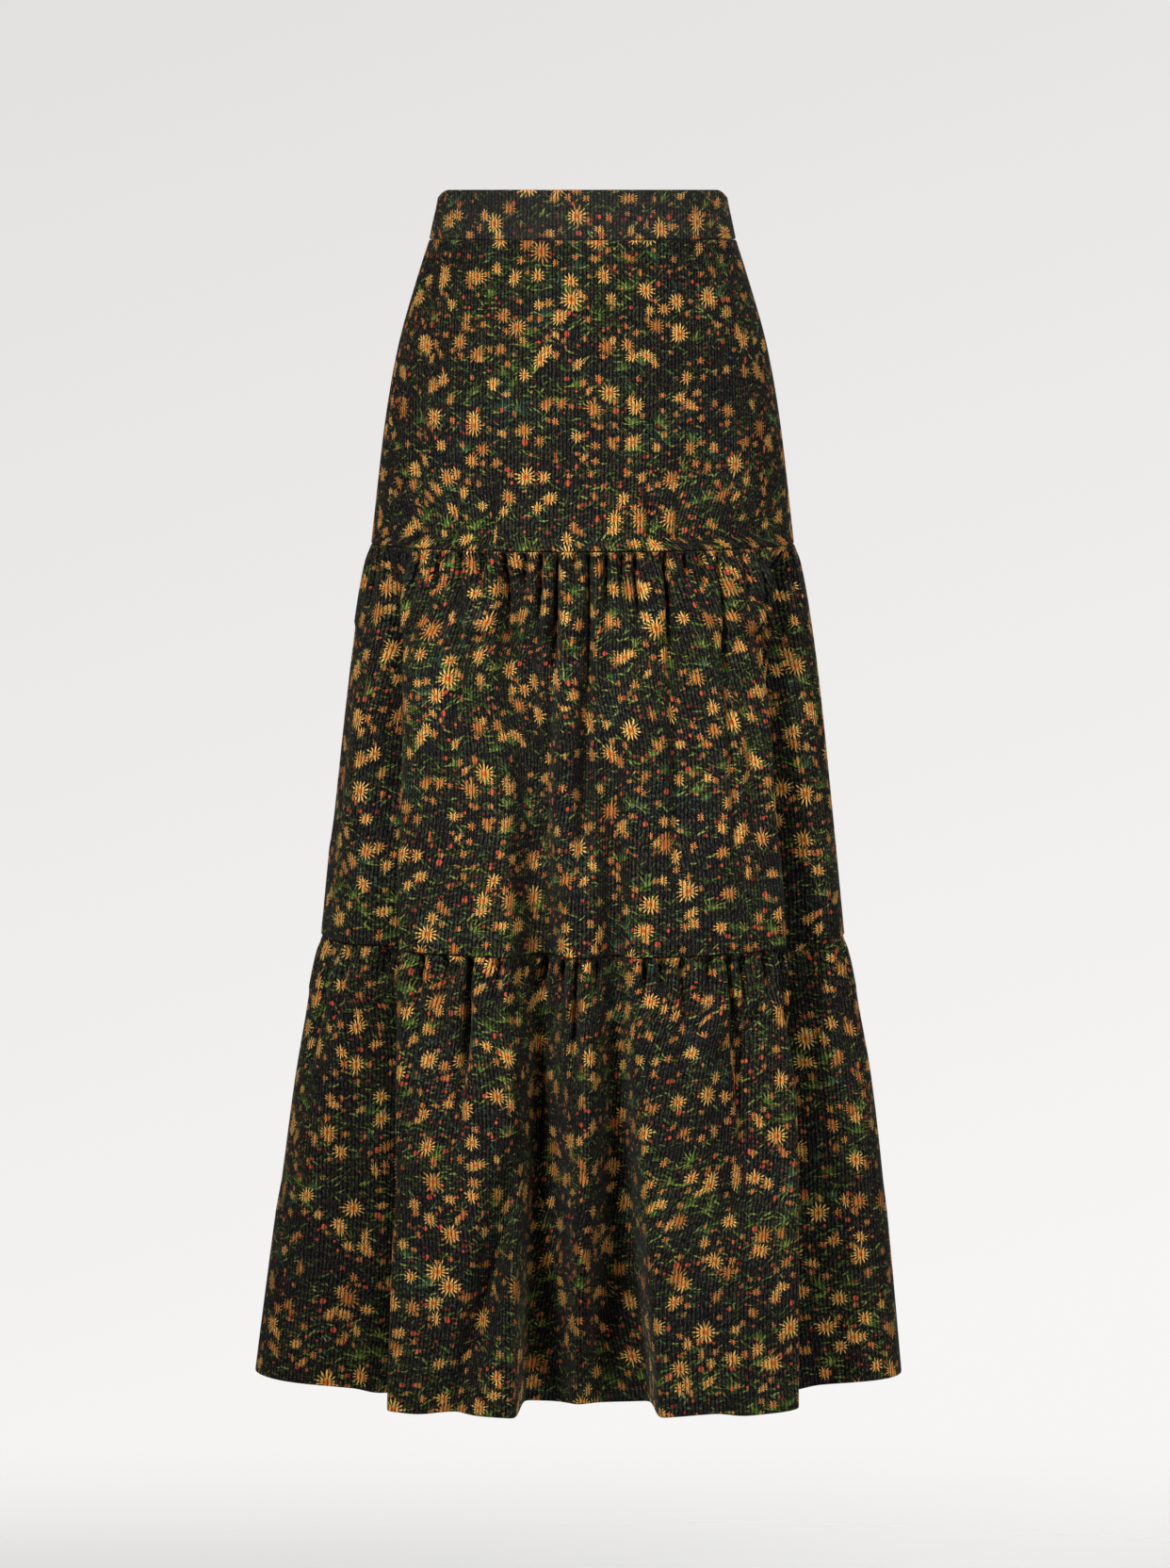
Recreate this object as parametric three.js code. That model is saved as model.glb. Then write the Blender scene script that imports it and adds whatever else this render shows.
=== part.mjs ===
// Three-tier maxi skirt in corduroy, filled out as it hangs from a waist.
// Millimetres, +Z up, front towards -Y. The origin is the centre of the waist,
// half way up the waistband. A drop is measured down from the waistband's top edge.
import * as THREE from 'three';

// Lengths down the skirt
const waistbandHeight = 41;
const yokeLength = 253;
const middleLength = 328;
const bottomLength = 373;
const yokeTop = waistbandHeight;
const middleTop = yokeTop + yokeLength;
const bottomTop = middleTop + middleLength;
const hem = bottomTop + bottomLength;

// Cloth
const clothWall = 1.5;
const waistbandWall = 2.6; // cloth folded over elastic
const seamGap = 0.3; // between two pieces that are sewn together

// Gathers, counted all round
const elasticRipples = 40; // only the back half is drawn up
const middleGathers = 52;
const bottomGathers = 60;
const columnsPerGather = 4;

// Drops of each panel's rows. The columns of a back yoke and a middle tier are half as
// many from the first coarse row down, where the closest gathers have faded.
const panelRows = {
  waistband: { fine: [0, 20, yokeTop], coarse: [] },
  yoke: { fine: [yokeTop, 60, 95], coarse: [145, 205, 255, middleTop] },
  middle: { fine: [middleTop, 306, 330, 365], coarse: [420, 490, 560, bottomTop] },
  bottom: { fine: [bottomTop, 636, 668, 730, 810, 900, hem], coarse: [] },
};
const flatBandColumns = 36; // across the front half of the waistband
const flatYokeColumns = 60;

// Smooth outline of each tier: half the width seen from the front, the depth from the
// middle to the front and to the back, and how far the section sits off centre.
const outline = {
  waistband: [
    { drop: 0, halfWidth: 119.2, front: 91, back: 90, shift: 0 },
    { drop: yokeTop, halfWidth: 126.5, front: 97, back: 98, shift: 0 },
  ],
  yoke: [
    { drop: yokeTop, halfWidth: 126.5, front: 97, back: 98, shift: 0 },
    { drop: 78, halfWidth: 138.5, front: 105, back: 110, shift: 0 },
    { drop: 125, halfWidth: 151.8, front: 113, back: 124, shift: 0 },
    { drop: 189, halfWidth: 163.4, front: 121, back: 138, shift: 0 },
    { drop: middleTop, halfWidth: 175.7, front: 131, back: 151, shift: 0 },
  ],
  middle: [
    { drop: middleTop, halfWidth: 175.7, front: 131, back: 151, shift: 0 },
    { drop: 315, halfWidth: 181.2, front: 136, back: 155, shift: 0 },
    { drop: 346, halfWidth: 187, front: 143, back: 161, shift: 0 },
    { drop: 410, halfWidth: 195.6, front: 153, back: 170, shift: 0 },
    { drop: 520, halfWidth: 207.1, front: 167, back: 181, shift: 0 },
    { drop: bottomTop, halfWidth: 217, front: 176, back: 189, shift: 0 },
  ],
  bottom: [
    { drop: bottomTop, halfWidth: 217, front: 176, back: 189, shift: 0 },
    { drop: 646, halfWidth: 223.4, front: 179, back: 192, shift: 0 },
    { drop: 678, halfWidth: 229.6, front: 181, back: 195, shift: 0 },
    { drop: 741, halfWidth: 240.7, front: 184, back: 199, shift: 0 },
    { drop: 836, halfWidth: 252.8, front: 187, back: 203, shift: -0.8 },
    { drop: hem, halfWidth: 272, front: 189, back: 207, shift: -4 },
  ],
};

// How far the cloth rides up at the sides, and dips at the ends of the top edge.
const sideRise = [
  { drop: 0, rise: 0 },
  { drop: middleTop, rise: 1 },
  { drop: bottomTop, rise: 3 },
  { drop: hem, rise: 6 },
];
const topDip = 5.5;
const topDipFrom = 0.93; // share of the half width where the dip begins

// Deep valleys between the pipes of the skirt. Angles are in degrees round the section,
// 0 at the front, 90 at the right side as seen from the front, 180 at the back. Each
// valley has two edges, how gently each one turns, and a depth, at five levels.
const valleyLevels = [middleTop, 460, bottomTop, 810, hem];
const valleys = {
  leftSide: {
    from: [-66, -60, -56, -62, -64],
    to: [-57, -51, -44, -40, -38.3],
    fromTurn: [3, 4, 5, 9, 13],
    toTurn: [3, 3, 3, 2.2, 2],
    depth: [4, 7, 13, 40, 63],
  },
  leftOfCentre: {
    from: [-24, -18, -14, -11.4, -10],
    to: [-16, -10, -5.5, -3, -0.4],
    fromTurn: [2.5, 2.5, 2.4, 2, 1.8],
    toTurn: [2.5, 2.5, 2.5, 2.5, 2.5],
    depth: [6, 11, 17, 52, 80],
  },
  rightOfCentre: {
    from: [4, 4, 4.6, 3, 0.4],
    to: [9, 9, 9.8, 10.8, 13.4],
    fromTurn: [2.5, 2.5, 2.5, 2.5, 2.5],
    toTurn: [2.5, 2.5, 2.4, 2, 1.8],
    depth: [2, 3, 9, 46, 79],
  },
  rightSide: {
    from: [62, 55, 51.5, 47.5, 44.6],
    to: [71, 64, 61, 63, 66],
    fromTurn: [2.5, 2.5, 2.4, 2, 2],
    toTurn: [3, 4, 5, 9, 12],
    depth: [8, 14, 22, 46, 62],
  },
  backRightSide: {
    from: [119, 117, 116, 115, 115],
    to: [127, 128, 132, 138, 140],
    fromTurn: [3, 4, 5, 9, 11],
    toTurn: [3, 3, 3, 2.4, 2.4],
    depth: [3, 6, 12, 33, 50],
  },
  backRightOfCentre: {
    from: [166, 165, 164, 163, 163],
    to: [172, 173, 175, 176, 177],
    fromTurn: [2.5, 2.5, 2.4, 2.4, 2.4],
    toTurn: [2.5, 2.5, 2.4, 2.4, 2.4],
    depth: [3, 8, 14, 38, 60],
  },
  backLeftOfCentre: {
    from: [199, 198, 198, 197, 197],
    to: [206, 208, 210, 212, 213],
    fromTurn: [2.5, 2.5, 2.4, 2.4, 2.4],
    toTurn: [2.5, 2.5, 2.4, 2.4, 2.4],
    depth: [4, 9, 14, 40, 62],
  },
  backLeftSide: {
    from: [240, 238, 237, 236, 235],
    to: [248, 249, 250, 252, 252],
    fromTurn: [3, 3, 2.6, 2.4, 2.4],
    toTurn: [3, 4, 5, 9, 11],
    depth: [3, 7, 13, 32, 48],
  },
};

// Single creases. Each one runs from a start drop to an end drop and is deepest at the
// peak share of its length. The angles and the half width are in degrees.
const creases = [
  { start: 90, end: 300, peak: 0.55, angle: -57, endAngle: -54, depth: 4.5, halfWidth: 3.4 },
  { start: 205, end: middleTop, peak: 0.8, angle: -39, endAngle: -38, depth: 3, halfWidth: 2 },
  { start: 190, end: middleTop, peak: 0.8, angle: -24, endAngle: -25, depth: 3.2, halfWidth: 2 },
  { start: 215, end: middleTop, peak: 0.8, angle: 20, endAngle: 19.5, depth: 2.6, halfWidth: 2 },
  { start: 225, end: middleTop, peak: 0.8, angle: 47, endAngle: 47, depth: 2.4, halfWidth: 2.2 },
  { start: 120, end: middleTop, peak: 0.6, angle: 126, endAngle: 124, depth: 3.4, halfWidth: 3 },
  { start: 150, end: middleTop, peak: 0.7, angle: 214, endAngle: 211, depth: 3.2, halfWidth: 3 },
  { start: middleTop, end: 430, peak: 0.1, angle: -47, endAngle: -44, depth: 3.5, halfWidth: 2.2 },
  { start: middleTop, end: 560, peak: 0.3, angle: -6.6, endAngle: -9, depth: 6, halfWidth: 2 },
  { start: 330, end: 600, peak: 0.4, angle: 0.5, endAngle: -1.6, depth: 5, halfWidth: 2 },
  { start: middleTop, end: 400, peak: 0.1, angle: 14.2, endAngle: 14.5, depth: 4, halfWidth: 1.8 },
  { start: middleTop, end: 430, peak: 0.1, angle: 23.5, endAngle: 23, depth: 5, halfWidth: 1.8 },
  { start: middleTop, end: 450, peak: 0.2, angle: 42, endAngle: 40, depth: 5, halfWidth: 2.2 },
  { start: middleTop, end: 440, peak: 0.1, angle: 102, endAngle: 101, depth: 5, halfWidth: 2.2 },
  { start: middleTop, end: 500, peak: 0.2, angle: 146, endAngle: 147, depth: 5.5, halfWidth: 2 },
  { start: middleTop, end: 420, peak: 0.1, angle: 184, endAngle: 185, depth: 4.5, halfWidth: 2 },
  { start: middleTop, end: 470, peak: 0.2, angle: 224, endAngle: 223, depth: 5, halfWidth: 2.2 },
  { start: middleTop, end: 430, peak: 0.1, angle: 262, endAngle: 261, depth: 4.5, halfWidth: 2.2 },
  { start: bottomTop, end: 800, peak: 0.2, angle: -73, endAngle: -72, depth: 6, halfWidth: 2.2 },
  { start: bottomTop, end: 800, peak: 0.2, angle: -24.5, endAngle: -25, depth: 8, halfWidth: 1.7 },
  { start: bottomTop, end: 760, peak: 0.2, angle: -2, endAngle: -1, depth: 7, halfWidth: 1.7 },
  { start: bottomTop, end: 760, peak: 0.2, angle: 21.6, endAngle: 21, depth: 6, halfWidth: 1.7 },
  { start: bottomTop, end: 720, peak: 0.1, angle: 33, endAngle: 33, depth: 4.5, halfWidth: 1.6 },
  { start: bottomTop, end: 740, peak: 0.2, angle: 43.5, endAngle: 42, depth: 5, halfWidth: 1.7 },
  { start: bottomTop, end: 790, peak: 0.2, angle: 76, endAngle: 77, depth: 6, halfWidth: 2.2 },
  { start: bottomTop, end: 770, peak: 0.2, angle: 104, endAngle: 103, depth: 6, halfWidth: 2 },
  { start: bottomTop, end: 790, peak: 0.2, angle: 150, endAngle: 151, depth: 7, halfWidth: 1.8 },
  { start: bottomTop, end: 750, peak: 0.2, angle: 187, endAngle: 186, depth: 6.5, halfWidth: 1.8 },
  { start: bottomTop, end: 780, peak: 0.2, angle: 223, endAngle: 224, depth: 6.5, halfWidth: 1.8 },
  { start: bottomTop, end: 760, peak: 0.2, angle: 265, endAngle: 264, depth: 6, halfWidth: 2.2 },
];

// Waves that the gathered cloth makes below a seam. The closest ones fade out first.
const gatherHeight = 3.2;
const gatherFade = 60; // drop below the seam where the gathers are gone
const foldHeight = 4.2; // one fold for every two gathers
const waveHeight = 4; // one wave for every four gathers
const foldRise = 70; // drop below the seam where folds and waves are full
const foldAtHem = 0.35; // share of the folds left at the bottom of the skirt
const elasticHeight = 1.7;
const elasticFade = 55;
const bandRippleHeight = 1.1;
const bandRipples = 9;

const degree = Math.PI / 180;
const turn = 2 * Math.PI;
const fullCircle = 360;
const sectionSteps = 720; // points along half a section before it is spaced out evenly

const { clamp, lerp, smoothstep } = THREE.MathUtils;

// Reads one column of a table at a drop, along a smooth curve through its rows.
function readTable(rows, column, drop) {
  const last = rows.length - 1;
  let i = 0;
  while (i < last - 1 && drop > rows[i + 1].drop) i += 1;
  const slope = (k) => {
    const a = rows[Math.max(k - 1, 0)];
    const b = rows[Math.min(k + 1, last)];
    return (b[column] - a[column]) / (b.drop - a.drop);
  };
  const span = rows[i + 1].drop - rows[i].drop;
  const t = clamp((drop - rows[i].drop) / span, 0, 1);
  const t2 = t * t;
  const t3 = t2 * t;
  return (
    (2 * t3 - 3 * t2 + 1) * rows[i][column] +
    (t3 - 2 * t2 + t) * span * slope(i) +
    (3 * t2 - 2 * t3) * rows[i + 1][column] +
    (t3 - t2) * span * slope(i + 1)
  );
}

// Reads a list of values, one for each valley level, at a drop.
function readLevels(values, drop) {
  const rows = valleyLevels.map((level, i) => ({ drop: level, value: values[i] }));
  return readTable(rows, 'value', clamp(drop, middleTop, hem));
}

// Fixes every valley's edges and depth at one drop.
function valleysAt(drop) {
  if (drop < middleTop) return [];
  return Object.values(valleys).map((valley) => ({
    from: readLevels(valley.from, drop),
    to: readLevels(valley.to, drop),
    fromTurn: readLevels(valley.fromTurn, drop),
    toTurn: readLevels(valley.toTurn, drop),
    depth: readLevels(valley.depth, drop),
  }));
}

// Fixes the creases that a drop passes through.
function creasesAt(drop) {
  return creases
    .filter((crease) => drop >= crease.start && drop < crease.end)
    .map((crease) => {
      const t = (drop - crease.start) / (crease.end - crease.start);
      const fade = t < crease.peak ? t / crease.peak : (1 - t) / (1 - crease.peak);
      return {
        centre: lerp(crease.angle, crease.endAngle, t),
        depth: crease.depth * smoothstep(fade, 0, 1),
        halfWidth: crease.halfWidth,
      };
    });
}

// How far the cloth stands in from the outline at an angle.
function inset(angle, openValleys, openCreases) {
  let sum = 0;
  for (const lap of [-fullCircle, 0, fullCircle]) {
    for (const v of openValleys) {
      const rise = Math.tanh((angle + lap - v.from) / v.fromTurn);
      const fall = Math.tanh((angle + lap - v.to) / v.toTurn);
      sum += (v.depth * (rise - fall)) / 2;
    }
    for (const c of openCreases) {
      sum += c.depth * Math.exp(-(((angle + lap - c.centre) / c.halfWidth) ** 2));
    }
  }
  return sum;
}

// Half a horizontal section as points spaced evenly along the cloth. The front half runs
// from the left side to the right side, and the back half from the right to the left.
function halfSection(tier, drop, half) {
  const rows = outline[tier];
  const width = readTable(rows, 'halfWidth', drop);
  const front = readTable(rows, 'front', drop);
  const back = readTable(rows, 'back', drop);
  const shift = readTable(rows, 'shift', drop);
  const openValleys = valleysAt(drop);
  const openCreases = creasesAt(drop);
  const startAngle = half === 'front' ? -90 : 90;
  const depth = half === 'front' ? front : back;
  const points = [];
  for (let i = 0; i <= sectionSteps; i += 1) {
    const angle = startAngle + (180 * i) / sectionSteps;
    const sin = Math.sin(angle * degree);
    const cos = Math.cos(angle * degree);
    const normal = new THREE.Vector2(sin / width, -cos / depth).normalize();
    const point = new THREE.Vector2(width * sin + shift, -depth * cos);
    points.push(point.addScaledVector(normal, -inset(angle, openValleys, openCreases)));
  }
  const lengths = [0];
  for (let i = 1; i < points.length; i += 1) {
    lengths.push(lengths[i - 1] + points[i].distanceTo(points[i - 1]));
  }
  return { points, lengths, width, shift };
}

// The point at a share of a half section's length.
function pointAt(section, share) {
  const { points, lengths } = section;
  const wanted = clamp(share, 0, 1) * lengths[sectionSteps];
  let low = 0;
  let high = sectionSteps;
  while (high - low > 1) {
    const middle = (low + high) >> 1;
    if (lengths[middle] > wanted) high = middle;
    else low = middle;
  }
  const t = (wanted - lengths[low]) / (lengths[high] - lengths[low]);
  return points[low].clone().lerp(points[high], t);
}

// A gather's outline: a round crest at half a turn between narrow valleys.
const gatherShape = (phase) => 2 * Math.abs(Math.sin(phase / 2)) ** 0.7 - 1;

// An uneven factor round the skirt, between low and 1.
function unevenness(around, low) {
  const mix = Math.sin(turn * (5 * around + 0.13)) * Math.sin(turn * (11 * around + 0.37));
  return low + (1 - low) * (0.5 + 0.5 * mix);
}

// How far the gathered cloth stands out from the smooth section. The place round the
// skirt goes from 0 to 1, starting at the left side and passing the front first.
function stand(tier, drop, around) {
  if (tier === 'waistband' || tier === 'yoke') {
    const isBack = smoothstep(around, 0.5, 0.54) * (1 - smoothstep(around, 0.96, 1));
    const fade = 1 - smoothstep(drop, yokeTop, yokeTop + elasticFade);
    const elastic = elasticHeight * isBack * fade * gatherShape(turn * elasticRipples * around);
    const soft = bandRippleHeight * (1 - isBack) * fade * Math.sin(turn * bandRipples * around);
    return elastic + soft;
  }
  const top = tier === 'middle' ? middleTop : bottomTop;
  const gathers = tier === 'middle' ? middleGathers : bottomGathers;
  const below = drop - top;
  const near = 1 - smoothstep(below, 0, gatherFade);
  const far = smoothstep(below, 0, foldRise);
  const calm = tier === 'bottom' ? lerp(1, foldAtHem, smoothstep(below, foldRise, bottomLength)) : 1;
  const fine = gatherHeight * near * unevenness(around, 0.6) * gatherShape(turn * gathers * around);
  const foldPhase = (turn * gathers * around) / 2;
  const fold = foldHeight * far * calm * unevenness(around + 0.21, 0.1) * Math.cos(foldPhase);
  const wave = waveHeight * far * calm * unevenness(around + 0.58, 0) * Math.cos(foldPhase / 2 + 0.8);
  return fine - fold - wave;
}

// A row of outer points, and of inner points one wall further in.
function wallRow(tier, half, drop, columns, wall) {
  const section = halfSection(tier, drop, half);
  const total = section.lengths[sectionSteps];
  const margin = seamGap / 2 / total;
  const start = half === 'front' ? 0 : 0.5;
  const outer = [];
  for (let i = 0; i <= columns; i += 1) {
    const share = margin + (1 - 2 * margin) * (i / columns);
    const step = 1 / columns / 2;
    const ahead = pointAt(section, share + step);
    const behind = pointAt(section, share - step);
    const normal = new THREE.Vector2(ahead.y - behind.y, behind.x - ahead.x).normalize();
    const around = start + i / columns / 2;
    outer.push(pointAt(section, share).addScaledVector(normal, stand(tier, drop, around)));
  }
  const inner = outer.map((point, i) => {
    const a = outer[Math.max(i - 1, 0)];
    const b = outer[Math.min(i + 1, columns)];
    const normal = new THREE.Vector2(b.y - a.y, a.x - b.x).normalize();
    return point.clone().addScaledVector(normal, -wall);
  });
  const rise = readTable(sideRise, 'rise', drop);
  const lift = (point) => {
    const side = Math.min(Math.abs(point.x - section.shift) / section.width, 1);
    const dip = topDip * (Math.max(side - topDipFrom, 0) / (1 - topDipFrom)) ** 2;
    const dipShare = 1 - smoothstep(drop, 0, waistbandHeight);
    const z = waistbandHeight / 2 - drop + rise * side * side - dip * dipShare;
    return new THREE.Vector3(point.x, point.y, z);
  };
  return { outer: outer.map(lift), inner: inner.map(lift) };
}

// Faces between two rows of points, the lower one as fine or half as fine.
function faceRows(upper, lower, faces) {
  const halved = upper.length > lower.length;
  for (let i = 0; i < lower.length - 1; i += 1) {
    if (halved) {
      const [a, b, c] = [upper[2 * i], upper[2 * i + 1], upper[2 * i + 2]];
      faces.push([a, lower[i], b], [b, lower[i], lower[i + 1]], [b, lower[i + 1], c]);
    } else {
      faces.push([upper[i], lower[i], lower[i + 1]], [upper[i], lower[i + 1], upper[i + 1]]);
    }
  }
}

// A closed wall through rows of outer and inner points.
function wallGeometry(rows) {
  const positions = [];
  const place = (points) =>
    points.map((point) => {
      positions.push(point.x, point.y, point.z);
      return positions.length / 3 - 1;
    });
  const outer = rows.map((row) => place(row.outer));
  const inner = rows.map((row) => place(row.inner));
  const faces = [];
  const turned = [];
  for (let i = 0; i < rows.length - 1; i += 1) {
    faceRows(outer[i], outer[i + 1], faces);
    faceRows(inner[i], inner[i + 1], turned);
  }
  faceRows(inner[0], outer[0], faces);
  faceRows(outer[rows.length - 1], inner[rows.length - 1], faces);
  const firstOf = (row) => row[0];
  const lastOf = (row) => row[row.length - 1];
  faceRows(inner.map(firstOf), outer.map(firstOf), turned);
  faceRows(inner.map(lastOf), outer.map(lastOf), faces);
  turned.forEach(([a, b, c]) => faces.push([a, c, b]));
  const geometry = new THREE.BufferGeometry();
  geometry.setAttribute('position', new THREE.Float32BufferAttribute(positions, 3));
  geometry.setIndex(faces.flat());
  geometry.computeVertexNormals();
  return geometry;
}

const corduroy = new THREE.MeshStandardMaterial({ color: 0x3a352b, roughness: 0.95, metalness: 0 });

// Columns across half the skirt where there are so many gathers all round.
const columnsOf = (gathers) => (gathers * columnsPerGather) / 2;

// Each tier with its node's name, its wall and its columns across the front and the back.
const tiers = [
  {
    tier: 'waistband',
    node: 'waistband',
    wall: waistbandWall,
    columns: { front: flatBandColumns, back: columnsOf(elasticRipples) },
    thinsOut: { front: false, back: false },
  },
  {
    tier: 'yoke',
    node: 'yoke',
    wall: clothWall,
    columns: { front: flatYokeColumns, back: columnsOf(elasticRipples) },
    thinsOut: { front: false, back: true },
  },
  {
    tier: 'middle',
    node: 'middle_tier',
    wall: clothWall,
    columns: { front: columnsOf(middleGathers), back: columnsOf(middleGathers) },
    thinsOut: { front: true, back: true },
  },
  {
    tier: 'bottom',
    node: 'bottom_tier',
    wall: clothWall,
    columns: { front: columnsOf(bottomGathers), back: columnsOf(bottomGathers) },
    thinsOut: { front: false, back: false },
  },
];

// Moves a panel's first and last row off the seams that they are sewn to.
function clearOfSeam(drop, drops) {
  if (drop > 0 && drop === drops[0]) return drop + seamGap / 2;
  if (drop < hem && drop === drops[drops.length - 1]) return drop - seamGap / 2;
  return drop;
}

// One sewn panel, the front or the back half of a tier.
function panel({ tier, node, wall, columns, thinsOut }, half) {
  const { fine, coarse } = panelRows[tier];
  const drops = [...fine, ...coarse];
  const rows = drops.map((drop) => {
    const halved = thinsOut[half] && coarse.includes(drop);
    const across = halved ? columns[half] / 2 : columns[half];
    return wallRow(tier, half, clearOfSeam(drop, drops), across, wall);
  });
  const mesh = new THREE.Mesh(wallGeometry(rows), corduroy.clone());
  mesh.name = `${node}_${half}`;
  return mesh;
}

const skirt = new THREE.Group();
for (const tier of tiers) {
  for (const half of ['front', 'back']) {
    skirt.add(panel(tier, half));
  }
}

export default skirt;
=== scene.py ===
import math

import bmesh
import bpy
import numpy as np
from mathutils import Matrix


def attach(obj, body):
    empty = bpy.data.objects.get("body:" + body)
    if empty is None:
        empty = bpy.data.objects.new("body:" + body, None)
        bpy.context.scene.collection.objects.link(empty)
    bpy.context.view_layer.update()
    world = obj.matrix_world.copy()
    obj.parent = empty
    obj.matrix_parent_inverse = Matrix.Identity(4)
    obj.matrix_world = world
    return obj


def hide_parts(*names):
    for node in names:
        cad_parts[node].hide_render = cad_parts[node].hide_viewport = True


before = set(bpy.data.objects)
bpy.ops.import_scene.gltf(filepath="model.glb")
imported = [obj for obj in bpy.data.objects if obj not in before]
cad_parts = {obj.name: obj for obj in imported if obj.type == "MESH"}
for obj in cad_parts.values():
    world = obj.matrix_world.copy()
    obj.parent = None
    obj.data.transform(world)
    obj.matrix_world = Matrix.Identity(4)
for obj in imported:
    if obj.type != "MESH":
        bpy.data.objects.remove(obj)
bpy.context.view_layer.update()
print("frame loaded:", ", ".join(sorted(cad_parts)))

mm = 0.001  # tables are in millimetres, meshes in metres

# Lengths are drops below the top edge of the waistband. The origin is half way up it.
skirt = {
    "waistbandHeight": 41,
    "yokeLength": 253,
    "middleLength": 328,
    "bottomLength": 373,
    "wall": 1.3,
    "bandWall": 2.5,
    "seamGap": 0.3,  # between tiers that are sewn together
    "sideGap": 0.06,  # between the front and the back
    "seamRoll": 1.5,  # how far from a seam the cloth starts to turn in
    "walePitch": 3.1,
    "waleHeight": 0.6,
    "pointsPerWale": 3,
}
yokeTop = skirt["waistbandHeight"]
middleTop = yokeTop + skirt["yokeLength"]
bottomTop = middleTop + skirt["middleLength"]
hem = bottomTop + skirt["bottomLength"]

# Smooth outline of each tier: at a drop, half the width, the depth to the front and to the
# back, and how far the section sits off centre.
outlines = {
    "waistband": [(0, 119.2, 91, 90, 0), (yokeTop, 126.5, 97, 98, 0)],
    "yoke": [
        (yokeTop, 126.5, 97, 98, 0),
        (78, 138.5, 105, 110, 0),
        (125, 151.8, 113, 124, 0),
        (189, 163.4, 121, 138, 0),
        (middleTop, 175.7, 131, 151, 0),
    ],
    "middle": [
        (middleTop, 175.7, 131, 151, 0),
        (315, 181.2, 136, 155, 0),
        (346, 187, 143, 161, 0),
        (410, 195.6, 153, 170, 0),
        (520, 207.1, 167, 181, 0),
        (bottomTop, 217, 176, 189, 0),
    ],
    "bottom": [
        (bottomTop, 217, 176, 189, 0),
        (646, 223.4, 179, 192, 0),
        (678, 229.6, 181, 195, 0),
        (741, 240.7, 184, 199, 0),
        (836, 252.8, 187, 203, -0.8),
        (hem, 272, 189, 207, -4),
    ],
}
# How far the cloth rises towards the two sides
sideRise = {"drop": [0, middleTop, bottomTop, hem], "left": [0, 1, 3, 9], "right": [0, 1, 3, 6.5]}
# The front hem hangs a little lower, most under the outer half of each pipe
hemDips = {"across": [-152, 0, 152], "depth": [3.5, 2, 5], "halfWidth": [28, 116, 34], "from": 840}
topDip = {"depth": 5.5, "from": 0.93}  # how the top edge dips at its two ends

# Deep valleys between the pipes, with a row for each of the levels: the angles where one
# starts and ends, how softly it turns there, and its depth. Angles are in degrees round
# the skirt: 0 at the front, 90 at the right side, 180 at the back.
valleyLevels = [middleTop, 460, bottomTop, 810, hem]
valleyColumns = ("from", "to", "fromTurn", "toTurn", "depth")
valleys = {
    "leftSide": [
        (-66, -57, 3, 2.2, 7), (-60, -51, 4, 1.7, 20), (-56, -45.4, 5, 1.3, 31),
        (-62, -40, 9, 1.2, 50), (-64, -36.8, 13, 1.1, 66),
    ],
    "leftEdge": [
        (-58, -52, 1.6, 1, 0), (-58, -52, 1.6, 1, 0), (-52, -46, 1.6, 1, 16),
        (-51, -44.5, 1.6, 1.6, 32), (-49, -42, 1.6, 1.6, 26),
    ],
    "leftOfCentre": [
        (-24, -16, 1.8, 2.5, 9), (-18, -10, 1.6, 2.5, 34), (-14, -5.5, 1.4, 2.5, 45),
        (-11.4, -3, 1, 2.5, 70), (-10, -0.4, 0.6, 2.5, 93),
    ],
    "rightOfCentre": [
        (4, 9, 2.5, 1.8, 6), (4, 9, 2.5, 1.6, 17), (4.6, 9.8, 2.5, 1.4, 30),
        (3, 10.8, 2.5, 1, 57), (0.4, 13.4, 2.5, 0.6, 87),
    ],
    "rightEdge": [
        (62, 72, 2, 3, 0), (60, 70, 2, 3, 6), (58, 68, 2, 3, 16),
        (54, 64, 2, 3, 22), (50, 60, 2, 3, 12),
    ],
    "rightSide": [
        (62, 74, 1.7, 2.6, 16), (56, 69, 1.4, 3, 44), (52.5, 69, 1.2, 4, 56),
        (47.4, 71, 1.2, 6.5, 62), (43.7, 72, 1.1, 9, 66),
    ],
    "backRightSide": [
        (119, 127, 3, 3, 3), (117, 128, 4, 3, 6), (116, 132, 5, 3, 12),
        (115, 138, 9, 2.4, 33), (115, 140, 11, 2.4, 50),
    ],
    "backRightOfCentre": [
        (166, 172, 2.5, 2.5, 3), (165, 173, 2.5, 2.5, 8), (164, 175, 2.4, 2.4, 14),
        (163, 176, 2.4, 2.4, 38), (163, 177, 2.4, 2.4, 60),
    ],
    "backLeftOfCentre": [
        (199, 206, 2.5, 2.5, 4), (198, 208, 2.5, 2.5, 9), (198, 210, 2.4, 2.4, 14),
        (197, 212, 2.4, 2.4, 40), (197, 213, 2.4, 2.4, 62),
    ],
    "backLeftSide": [
        (240, 248, 3, 3, 3), (238, 249, 3, 4, 7), (237, 250, 2.6, 5, 13),
        (236, 252, 2.4, 9, 32), (235, 252, 2.4, 11, 48),
    ],
}

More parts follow.
